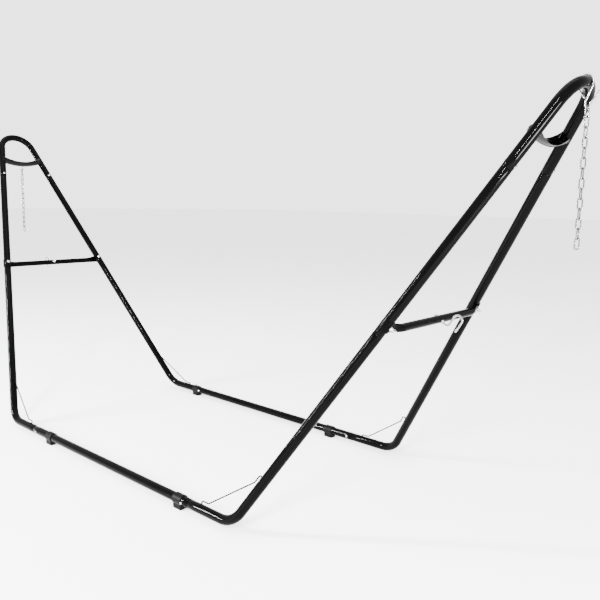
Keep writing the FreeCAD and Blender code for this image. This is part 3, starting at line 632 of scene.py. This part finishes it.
def trough_arc():
    """Centre, right end, and lower radius of the saddle's middle section."""
    _, (n, s), radius = arc_points(*SADDLE_MID, 5)
    return world(vec(0, SADDLE_S + s, n)), radius


def cut_slot(trough, place):
    """Cuts the round-ended slot for the chain through the bottom of the trough."""
    centre, radius = trough_arc()
    half = (SLOT_LEN - SLOT_WIDTH) / 2
    turn = np.arange(32) * 2 * math.pi / 32
    round_r = SLOT_WIDTH / 2
    ring = [(round_r * math.cos(a), round_r * math.sin(a) + math.copysign(half, math.sin(a + 1e-6)))
            for a in turn]
    rows = [[centre + vec(x, y, rise - radius) for x, y in ring] for rise in (-2 * SADDLE_T, 2 * SADDLE_T)]
    block = Shape().grid(rows, caps=(True, True))
    mesh = bpy.data.meshes.new("slot")
    points = block.all_verts() * (place[0] * MM, place[1] * MM, MM)
    mesh.from_pydata([tuple(p) for p in points], [], block.faces)
    cutter = bpy.data.objects.new("slot", mesh)
    bpy.context.scene.collection.objects.link(cutter)
    step = trough.modifiers.new("slot", "BOOLEAN")
    step.operation, step.solver, step.object = "DIFFERENCE", "EXACT", cutter
    bpy.context.view_layer.update()
    whole = trough.data
    cut = trough.evaluated_get(bpy.context.evaluated_depsgraph_get())
    trough.data = bpy.data.meshes.new_from_object(cut)
    trough.modifiers.clear()
    bpy.data.objects.remove(cutter)
    bpy.data.meshes.remove(mesh)
    bpy.data.meshes.remove(whole)
    trough.data.set_sharp_from_angle(angle=math.radians(50.0))


def saddle_weld(side, face):
    """Rippled weld bead along the line where the sheet meets a leg."""
    lower = [(e[0], e[1]) for e in SADDLE_END]
    belly, centre, radius = arc_points(*lower, 60)
    if face == "inner":
        centre = np.array(centre)
        belly = centre + (belly - centre) * (1 - SADDLE_T / radius)
    points = []
    for n, s in belly[3:-3]:
        s_abs = SADDLE_S + s
        y = half_width(s_abs) - math.sqrt(max(TUBE_R**2 - n * n, 0)) / math.cos(SPLAY)
        points.append(world(vec(side * y, s_abs, n)))
    points = np.array(points)
    ahead = np.gradient(points, axis=0)
    rows = []
    turn = np.arange(10) * 2 * math.pi / 10
    for k, (p, t) in enumerate(zip(points, ahead)):
        t = unit(t)
        a = unit(np.cross(t, OUT_W))
        b = np.cross(t, a)
        ripple = 1.9 + 0.28 * math.sin(k * 2.1) + 0.12 * math.sin(k * 0.7 + side)
        taper = min(1.0, 0.35 + 0.25 * min(k, len(points) - 1 - k))
        r = ripple * taper
        rows.append(p + (np.cos(turn) * r)[:, None] * a + (np.sin(turn) * r)[:, None] * b)
    return Shape().grid(rows, caps=(True, True))


# ---- spreader bar ---------------------------------------------------------------------------
def spreader_bars():
    half_flat = half_width(SPREADER_S) - NECK_IN
    half_round = half_flat - NECK_LEN
    turn = np.arange(48) * 2 * math.pi / 48
    shape = Shape()
    rows = []
    n_flat = CUP_OUT_R - NECK_SINK

    def section(y, tall, thick, n, power):
        c, s = np.cos(turn), np.sin(turn)
        up = np.sign(s) * np.abs(s) ** power * tall
        outward = np.sign(c) * np.abs(c) ** power * thick
        return world(np.stack([np.full(48, y), SPREADER_S + up, n + outward], 1))

    ys = sorted(set([-half_flat + NECK_LEN * k / 18 for k in range(19)]
                    + [-half_round + 2 * half_round * k / 12 for k in range(13)]
                    + [half_flat - NECK_LEN * k / 18 for k in range(19)]))
    for y in ys:
        t = np.clip((abs(y) - half_round) / NECK_LEN, 0, 1)
        w = t * t * (3 - 2 * t)
        tall = BAR_R + (NECK_TALL - BAR_R) * w
        thick = BAR_R + (NECK_THICK - BAR_R) * w
        n = BAR_N + (n_flat - BAR_N) * w ** 1.4
        rows.append(section(y, tall, thick, n, 1.0 - 0.18 * w))
    shape.grid(rows, caps=(True, True))
    for side in (-1, 1):
        centre = on_side(side, leg_point(SPREADER_S))
        axis = on_side(side, LEG_DIR)
        across = np.cross(axis, OUT)
        rows = []
        steps = 30
        for k in range(steps + 1):
            a = math.radians(-CUP_HALF_ANGLE + 2 * CUP_HALF_ANGLE * k / steps)
            radial = OUT * math.cos(a) + across * math.sin(a)
            edge = min(k, steps - k)
            thin = 1.0 if edge > 1 else 0.75 + 0.25 * edge / 2
            tall = CUP_TALL / 2 - (1.2 if edge == 0 else 0.3 if edge == 1 else 0.0)
            inner, outer = CUP_IN_R, CUP_IN_R + CUP_T * thin
            outline = [(-tall, inner), (-tall, outer - 1.0), (-tall + 0.3, outer - 0.3), (-tall + 1.0, outer),
                       (0.0, outer),
                       (tall - 1.0, outer), (tall - 0.3, outer - 0.3), (tall, outer - 1.0), (tall, inner)]
            rows.append([world(centre + axis * h + radial * r) for h, r in outline])
        shape.grid(rows, around=True, caps=(True, True))
    for name, place in ENDS.items():
        piece(f"{name}_spreader", shape.all_verts(), shape.faces, BAR_COAT, BODY, place,
              [f"{name}_spreader_bar"], crease=50.0, weld=False)


# ---- feet -----------------------------------------------------------------------------------
def feet():
    """Clip-on feet: a split band round the rail over a treaded block."""
    inner = TUBE_R + FOOT_GAP
    outer = inner + FOOT_BAND_T
    slot, end = FOOT_SPLIT / 2, FOOT_LEN / 2
    for name, x_mid in FOOT_X.items():
        side = -1 if name.endswith("front") else 1
        a_slot_out, a_slot_in = math.asin(slot / outer), math.asin(slot / inner)
        rows = []
        treads = [-end + FOOT_LEN / (TREADS + 1) * k for k in range(1, TREADS + 1)]
        marks = [-end, -end + 0.4, -end + 1.2, -end + 2.5]
        for t in treads:
            marks += [t - 1.9, t - 1.5, t - 1.2, t + 1.2, t + 1.5, t + 1.9]
        marks += [end - 2.5, end - 1.2, end - 0.4, end]
        for mark in marks:
            edge = end - abs(mark)
            pull = 0.0
            if edge <= FOOT_EDGE_R:
                pull = FOOT_EDGE_R - math.sqrt(max(FOOT_EDGE_R**2 - (FOOT_EDGE_R - edge)**2, 0.0))
            groove = 0.0
            for t in treads:
                off = abs(mark - t)
                groove = max(groove, TREAD_DEPTH if off < 1.3 else TREAD_DEPTH / 2 if off < 1.6 else 0.0)
            rib = 0.35 if abs(abs(mark) - 17) < 3 else 0.0
            r = outer - pull - 0.35 + rib
            half = FOOT_WIDTH / 2 - pull
            # rounded plan corners: the block narrows near its two ends
            if edge < FOOT_CORNER_R:
                half -= FOOT_CORNER_R - math.sqrt(FOOT_CORNER_R**2 - (FOOT_CORNER_R - edge)**2) - pull
            ring = []
            for k in range(21):
                a = a_slot_out + (math.pi - math.asin(min(half / r, 0.999)) - a_slot_out) * k / 20
                ring.append((r * math.sin(a), r * math.cos(a)))
            low = -RAIL_Z + groove
            bevel = 1.0
            ring += [(half, low + 6.0), (half, low + bevel + pull),
                     (half - 0.3 * bevel, low + 0.3 * bevel + pull), (half - bevel, low + pull)]
            ring += [(half / 2, low + pull), (0.0, low + pull), (-half / 2, low + pull)]
            ring += [(-half + bevel, low + pull), (-half + 0.3 * bevel, low + 0.3 * bevel + pull),
                     (-half, low + bevel + pull), (-half, low + 6.0)]
            for k in range(20, -1, -1):
                a = a_slot_out + (math.pi - math.asin(min(half / r, 0.999)) - a_slot_out) * k / 20
                ring.append((-r * math.sin(a), r * math.cos(a)))
            for k in range(41):
                a = -a_slot_in - (2 * math.pi - 2 * a_slot_in) * k / 40
                ring.append((inner * math.sin(a), inner * math.cos(a)))
            rows.append([vec(x_mid + mark, side * RAIL_Y + y, RAIL_Z + z) for y, z in ring])
        shape = Shape().grid(rows, around=True, caps=(True, True))
        piece(f"{name}_clip_foot", shape.all_verts(), shape.faces, PLASTIC, BODY, RIGHT,
              [f"{name}_foot"], crease=32.0)


# ---- fasteners ------------------------------------------------------------------------------
def button_head(shape, centre, direction, head_r, head_h, sink, socket):
    """Domed head bedded on a tube, with a hexagonal socket."""
    ball_r = (head_r**2 + head_h**2) / (2 * head_h)
    base = centre - direction * (TUBE_R - sink)
    profile = [(-3.0, head_r * 0.96), (0.0, head_r), (0.25, head_r)]
    for k in range(1, 8):
        r = head_r - (head_r - socket * 1.12) * k / 7
        profile.append((math.sqrt(ball_r**2 - r * r) - (ball_r - head_h), r))
    top = profile[-1][0]
    flat = len(profile)
    profile += [(top + 0.02, socket), (top - 0.3, socket * 0.97),
                (top - 2.2, socket * 0.95), (top - 2.6, 0.3)]

    def share(turn, index):
        if index < flat:
            return np.ones(len(turn))
        return hex_share(turn)

    shape.grid(lathe(base, -direction, profile, 36, share), caps=(False, True))


def hex_nut(shape, base, direction, across, height, bore, spin=0.0):
    corner = across / math.sqrt(3)
    cham = corner - across / 2 * 0.98
    profile = [(0.0, bore), (0.0, corner - cham), (cham * 0.5, corner), (height - cham * 0.5, corner),
               (height, corner - cham), (height, bore + 0.5), (height - 0.5, bore)]

    def share(turn, index):
        if index in (2, 3):
            return hex_share(turn + spin)
        if index in (1, 4):
            return np.minimum(hex_share(turn + spin) * corner / (corner - cham), 1.0)
        return np.ones(len(turn))

    shape.grid(lathe(base, direction, profile, 48, share))


def frame_fasteners():
    joints = []
    front = leg_point(ARCH_SEAM_S) + LEG_DIR * ARCH_BOLT_UP
    for side in (-1, 1):
        joints.append((world(on_side(side, front)), OUT_W))
        joints.append((vec(RAIL_SEAM_X - RAIL_BOLT_IN, side * RAIL_Y, RAIL_Z), vec(0, side, 0)))
    bolts, nuts = Shape(), Shape()
    for centre, direction in joints:
        button_head(bolts, centre, direction, M6_HEAD_R, M6_HEAD_H, M6_HEAD_SINK, 2.1)
        tail = thread(centre + direction * (TUBE_R - 2), direction, M6_R, 2 + SEAT + HEX6_H + M6_TAIL, 1.0)
        bolts.grid(tail, caps=(False, True))
        seat = centre + direction * (TUBE_R + SEAT)
        hex_nut(nuts, seat, direction, HEX6_AF, HEX6_H, M6_R + THREAD_GAP, 0.4)
    for group, node in ((bolts, "frame_bolts"), (nuts, "frame_nuts")):
        made = [piece(f"{name}_{node}", group.all_verts(), group.faces, BOLT_ZINC, BODY,
                      place, crease=35.0, weld=False) for name, place in ENDS.items()]
        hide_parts(node)


def washer_rows(base, direction, bore=WASHER_BORE, outer=WASHER_R, thick=WASHER_T):
    profile = [(0.0, bore), (0.0, outer - 0.3), (0.25, outer), (thick - 0.45, outer), (thick, outer - 0.55),
               (thick, bore + 0.3), (thick - 0.3, bore)]
    return lathe(base, direction, profile, 40)


def wing_nut(shape, base):
    """Wing nut in plane axes: waisted boss and two rounded wings with thick rims."""
    boss = [(0.0, 4.3), (0.0, 7.7), (0.5, 8.2), (1.6, 8.0), (4.0, 7.1), (7.4, 6.3), (8.6, 6.1),
            (WING_BODY_H, 5.6), (WING_BODY_H, 4.6), (8.4, 4.1)]
    rows = [[world(p) for p in ring] for ring in lathe(base, OUT, boss, 36, up=vec(0, 1, 0))]
    shape.grid(rows)
    for sign in (-1, 1):
        outline = []
        centre_u, centre_h = 11.6, 10.6
        for k in range(28):
            a = 2 * math.pi * k / 28
            u = centre_u + 5.4 * math.cos(a)
            h = centre_h + 6.3 * math.sin(a)
            if math.cos(a) < -0.2:
                u = max(u - 1.6, 4.9)
                h -= 1.4 * (-math.cos(a) - 0.2)
            outline.append((u, h))
        outline = np.array(outline)
        middle = outline.mean(0)
        rows = []
        for scale, y in ((0.0, -0.75), (0.55, -0.75), (0.78, -0.95), (0.90, -1.45), (0.97, -1.25),
                         (1.0, -0.6), (1.0, 0.6),
                         (0.97, 1.25), (0.90, 1.45), (0.78, 0.95), (0.55, 0.75), (0.0, 0.75)):
            pts = middle + (outline - middle) * scale
            rows.append([world(base + vec(sign * u, sign * y, h)) for u, h in pts])
        shape.grid(rows)


def spreader_fasteners():
    bolts, wings, washers, hex_nuts, acorns = Shape(), Shape(), Shape(), Shape(), Shape()
    for side in (-1, 1):
        centre = on_side(side, leg_point(SPREADER_S))
        where = world(centre)
        button_head(bolts, where, OUT_W, M8_HEAD_R, M8_HEAD_H, M8_HEAD_SINK, 3.0)
        reach = NUT_SEAT + WASHER_T + WING_BODY_H + M8_TAIL
        tail = thread(where + OUT_W * (TUBE_R + 2), OUT_W, M8_R, reach - TUBE_R - 2, 1.25)
        bolts.grid(tail, caps=(False, True))
        wing_nut(wings, centre + OUT * (NUT_SEAT + WASHER_T))
        washers.grid(washer_rows(where + OUT_W * NUT_SEAT, OUT_W))
    mid = world(vec(0, SPREADER_S, BAR_N))
    washers.grid(washer_rows(mid - OUT_W * (BAR_R + SEAT), -OUT_W))
    washers.grid(washer_rows(mid + OUT_W * (BAR_R + SEAT), OUT_W))
    off_bar = BAR_R + SEAT + WASHER_T
    hex_nut(hex_nuts, mid + OUT_W * off_bar, OUT_W, HEX8_AF, HEX8_H, M8_R + THREAD_GAP, 0.25)
    base = mid - OUT_W * off_bar
    hex_nut(acorns, base, -OUT_W, HEX8_AF, HEX8_H, M8_R + THREAD_GAP, 0.1)
    dome = [(6.0, 6.2)]
    dome += [(6.3 + 5.7 * math.sin(a), 6.2 * math.cos(a)) for a in np.linspace(0, math.pi / 2 * 0.98, 9)]
    acorns.grid(lathe(base, -OUT_W, dome, 36), caps=(False, True))
    for group, node, slot, material in ((bolts, "spreader_bolts", "fastener_zinc", BOLT_ZINC),
                                        (wings, "wing_nuts", "nut_chrome", NICKEL),
                                        (washers, "washers", "fastener_zinc", BOLT_ZINC),
                                        (hex_nuts, "hook_nuts", "fastener_zinc", BOLT_ZINC),
                                        (acorns, "hook_acorn_nuts", "nut_chrome", NICKEL)):
        made = [piece(f"{name}_{node}", group.all_verts(), group.faces, material, BODY, place,
                      crease=35.0, weld=False) for name, place in ENDS.items()]
        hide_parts(node)


# ---- hooks ----------------------------------------------------------------------------------
def rounded_ends(route, radius, gap):
    """Stations of a wire with rounded ends."""
    turns = np.linspace(0, math.pi / 2, 6)
    head = [(radius * (1 - math.cos(a)), max(radius * math.sin(a), 0.02)) for a in turns]
    tail = [(route.length - d, r) for d, r in reversed(head)]
    middle = [(d, radius) for d in route.stops(radius, route.length - radius, gap)[1:-1]]
    return head + middle + tail


def hooks():
    """The S-hook over the right crown, and a threaded hook through each spreader bar."""
    loop = TUBE_R + S_GAP + S_WIRE_R
    near, far = S_BIGHT_X - S_BIGHT_R, S_BIGHT_X + S_BIGHT_R
    corners = [(1.6, -51.0, 0), (-loop, -14.0, 20.0), (-loop, loop, loop), (loop, loop, loop),
               (loop, -8.0, 20.0), (near, -60.0, 14.0),
               (near, S_BIGHT_Z, S_BIGHT_R), (far, S_BIGHT_Z, S_BIGHT_R),
               (far, -66.0, 8.0), (39.0, -44.0, 9.0), (43.5, -31.0, 3.2), (50.0, -29.5, 0)]
    bends = [r for _, _, r in corners[1:-1]]
    route = Route([CROWN + vec(x, 0, z) for x, z, _ in corners], bends, arc_step=5.0)
    rings = tube_rows(route, rounded_ends(route, S_WIRE_R, 4.0), 24, normal=vec(0, 1, 0))
    s_shape = Shape().grid(rings, caps=(True, True))
    inner = BAR_N - BAR_R - SEAT - WASHER_T - HOOK_IN_ACORN
    far_out = BAR_HOOK_OUT + BAR_HOOK_GAP
    outline = [(inner, 0.0), (BAR_HOOK_OUT, 0.0), (BAR_HOOK_OUT, BAR_HOOK_RISE), (far_out, BAR_HOOK_RISE),
               (far_out, BAR_HOOK_TIP)]
    bends = [BAR_HOOK_BEND_R, BAR_HOOK_GAP / 2, BAR_HOOK_GAP / 2]
    hook_route = Route([world(vec(0, SPREADER_S + s, n)) for n, s in outline], bends, arc_step=4.0)
    smooth_from = BAR_N + BAR_R + SEAT + WASHER_T + HEX8_H + HOOK_THREAD_OUT - inner
    high = hook_route.length
    stations = [(smooth_from - 0.4, M8_R - 0.4), (smooth_from + 0.6, M8_R)]
    stations += [(d, M8_R) for d in hook_route.stops(smooth_from + 1.0, high, 5.0)]
    stations += [(high + M8_R * math.sin(a), max(M8_R * math.cos(a), 0.03))
                 for a in np.linspace(0.2, math.pi / 2, 6)]
    h_shape = Shape().grid(tube_rows(hook_route, stations, 24, normal=vec(0, 1, 0)), caps=(True, True))
    thread_from = BAR_N + BAR_R - 4
    start = world(vec(0, SPREADER_S, thread_from))
    threaded = thread(start, OUT_W, M8_R, smooth_from + inner - thread_from, 1.25, tip=0)
    h_shape.grid(threaded, caps=(True, True))
    piece("right_hanger", s_shape.all_verts(), s_shape.faces, HOOK_ZINC, "right_hook", RIGHT,
          ["right_s_hook"])
    for name, place in ENDS.items():
        piece(f"{name}_bar_hook", h_shape.all_verts(), h_shape.faces, HOOK_ZINC, BODY, place,
              [f"{name}_spreader_hook"], weld=False)


# ---- chain ----------------------------------------------------------------------------------
def oval(first, second, across):
    """Welded link of round wire between the centres of its two bends."""
    straight = np.linalg.norm(first - second)
    along = unit(first - second)
    face = np.cross(along, across)
    turn = np.arange(16) * 2 * math.pi / 16
    path = [("down", k / 14) for k in range(14)] + [("low", k / 14) for k in range(14)] \
        + [("up", k / 6) for k in range(6)] + [("high", k / 14) for k in range(14)]
    rows = []
    for part, t in path:
        radius = LINK_WIRE_R
        if part == "down":
            out, up, a = LINK_BEND_R, -straight * t, 0.0
            # the butt weld: a pinched ring with a flash on either side
            radius -= 0.4 if abs(t - 0.5) * straight < 0.5 else 0.05
        elif part == "up":
            out, up, a = -LINK_BEND_R, -straight * (1 - t), math.pi
        elif part == "low":
            a = -math.pi * t
            out, up = LINK_BEND_R * math.cos(a), -straight + LINK_BEND_R * math.sin(a)
        else:
            a = math.pi - math.pi * t
            out, up = LINK_BEND_R * math.cos(a), LINK_BEND_R * math.sin(a)
        radial = across * math.cos(a) + along * math.sin(a)
        centre = first + across * out + along * up
        around = (np.cos(turn) * radius)[:, None] * radial + (np.sin(turn) * radius)[:, None] * face
        rows.append(centre + around)
    rows.append(rows[0])
    return Shape().grid(rows)


def link(end, number, body, first, second, across):
    shape = oval(first, second, across)
    piece(f"{end}_link_{number:02d}_wire", shape.all_verts(), shape.faces, CHAIN_ZINC, body,
          ENDS[end], [f"{end}_chain_link_{number:02d}"], crease=60.0)


def hung_links(end, number, pivot, seat, heading):
    """A hanging chain from its first link's pivot, the wire that the link hangs on."""
    for index in range(LINKS):
        turn = math.radians(heading + 90.0 * (index % 2) + min(LINK_TWIST * index, LINK_TWIST_MAX))
        top = pivot + vec(0, 0, seat - LINK_BEND_R)
        low = top - vec(0, 0, LINK_INSIDE + 2 * LINK_WIRE_R - 2 * LINK_BEND_R)
        across = vec(math.cos(turn), math.sin(turn), 0)
        link(end, number + index, f"{end}_link_{number + index:02d}", top, low, across)
        pivot = pivot + vec(0, 0, seat - LINK_INSIDE - 2 * LINK_WIRE_R)
        seat = 2 * LINK_WIRE_R + LINK_GAP


def chains():
    """The right chain on its S-hook, and the left one on a link laid over the saddle's slot."""
    on_hook = CROWN + vec(S_BIGHT_X, 0, S_BIGHT_Z)
    hung_links("right", 1, on_hook, S_WIRE_R + LINK_WIRE_R + HOOK_LINK_GAP, FIRST_LINK_TURN)
    centre, radius = trough_arc()
    reach = radius - SADDLE_T - LINK_WIRE_R - LAID_GAP
    wire = centre - vec(0, 0, math.sqrt(reach**2 - LINK_BEND_R**2))
    along = vec(0, math.cos(LAID_TILT), math.sin(LAID_TILT))
    far = LINK_INSIDE + 2 * LINK_WIRE_R - LINK_BEND_R
    link("left", 1, BODY, wire + along * LINK_BEND_R, wire + along * far, vec(1, 0, 0))
    hung_links("left", 2, wire, 2 * LINK_WIRE_R + LINK_GAP, SLOT_LINK_TURN)


frame_tubes()
gusset_rods()
saddle_pieces()
spreader_bars()
feet()
frame_fasteners()
spreader_fasteners()
hooks()
chains()


# ---- floor, light ---------------------------------------------------------------------------
def floor():
    size = 60.0
    mesh = bpy.data.meshes.new("floor")
    corners = [(-size, -size, 0), (size, -size, 0), (size, size, 0), (-size, size, 0)]
    mesh.from_pydata(corners, [], [(0, 1, 2, 3)])
    m = Nodes("floor_paint", (0.9, 0.9, 0.9), 0.9, level=0.1)
    m.colour(m.ramp(m.noise(0.6, 3.0), [(0.3, (0.935, 0.935, 0.935)), (0.7, (0.945, 0.945, 0.945))]))
    mesh.materials.append(m.material)
    obj = bpy.data.objects.new("floor", mesh)
    bpy.context.scene.collection.objects.link(obj)


def area_light(name, at, aim, size, power):
    data = bpy.data.lights.new(name, "AREA")
    data.shape = "RECTANGLE"
    data.size, data.size_y = size
    data.energy = power
    obj = bpy.data.objects.new(name, data)
    bpy.context.scene.collection.objects.link(obj)
    at, aim = np.array(at, float), np.array(aim, float)
    back = unit(at - aim)
    side = unit(np.cross(vec(0, 0, 1), back))
    over = np.cross(back, side)
    turn = Matrix((side, over, back)).transposed().to_4x4()
    turn.translation = at
    obj.matrix_world = turn


def lights():
    scene_world = bpy.data.worlds.new("studio")
    bpy.context.scene.world = scene_world
    scene_world.use_nodes = True
    tree = scene_world.node_tree
    background = tree.nodes["Background"]
    background.inputs["Strength"].default_value = 3.2
    where = tree.nodes.new("ShaderNodeTexCoord").outputs["Generated"]
    parts = tree.nodes.new("ShaderNodeSeparateXYZ")
    tree.links.new(where, parts.inputs["Vector"])
    height = tree.nodes.new("ShaderNodeValToRGB")
    stops = ((0.0, 1.0), (0.38, 1.0), (0.70, 0.92), (1.0, 0.88))
    while len(height.color_ramp.elements) < len(stops):
        height.color_ramp.elements.new(0.5)
    for element, (at, shade) in zip(height.color_ramp.elements, stops):
        element.position = at
        element.color = (shade, shade, shade, 1.0)
    tree.links.new(parts.outputs["Z"], height.inputs["Fac"])
    tree.links.new(height.outputs["Color"], background.inputs["Color"])
    area_light("overhead", (0.0, -0.5, 7.0), (0, 0, 0), (7.0, 5.0), 500)
    area_light("strip_left", (-3.5, -4.5, 2.6), (1.0, 0, 0.8), (0.06, 2.8), 1900)
    area_light("strip_right", (3.2, -5.2, 3.4), (1.4, 0, 0.8), (0.06, 2.2), 1400)
    area_light("low_right", (4.6, -1.2, 0.5), (1.9, 0, 1.4), (1.2, 0.5), 520)


floor()
lights()
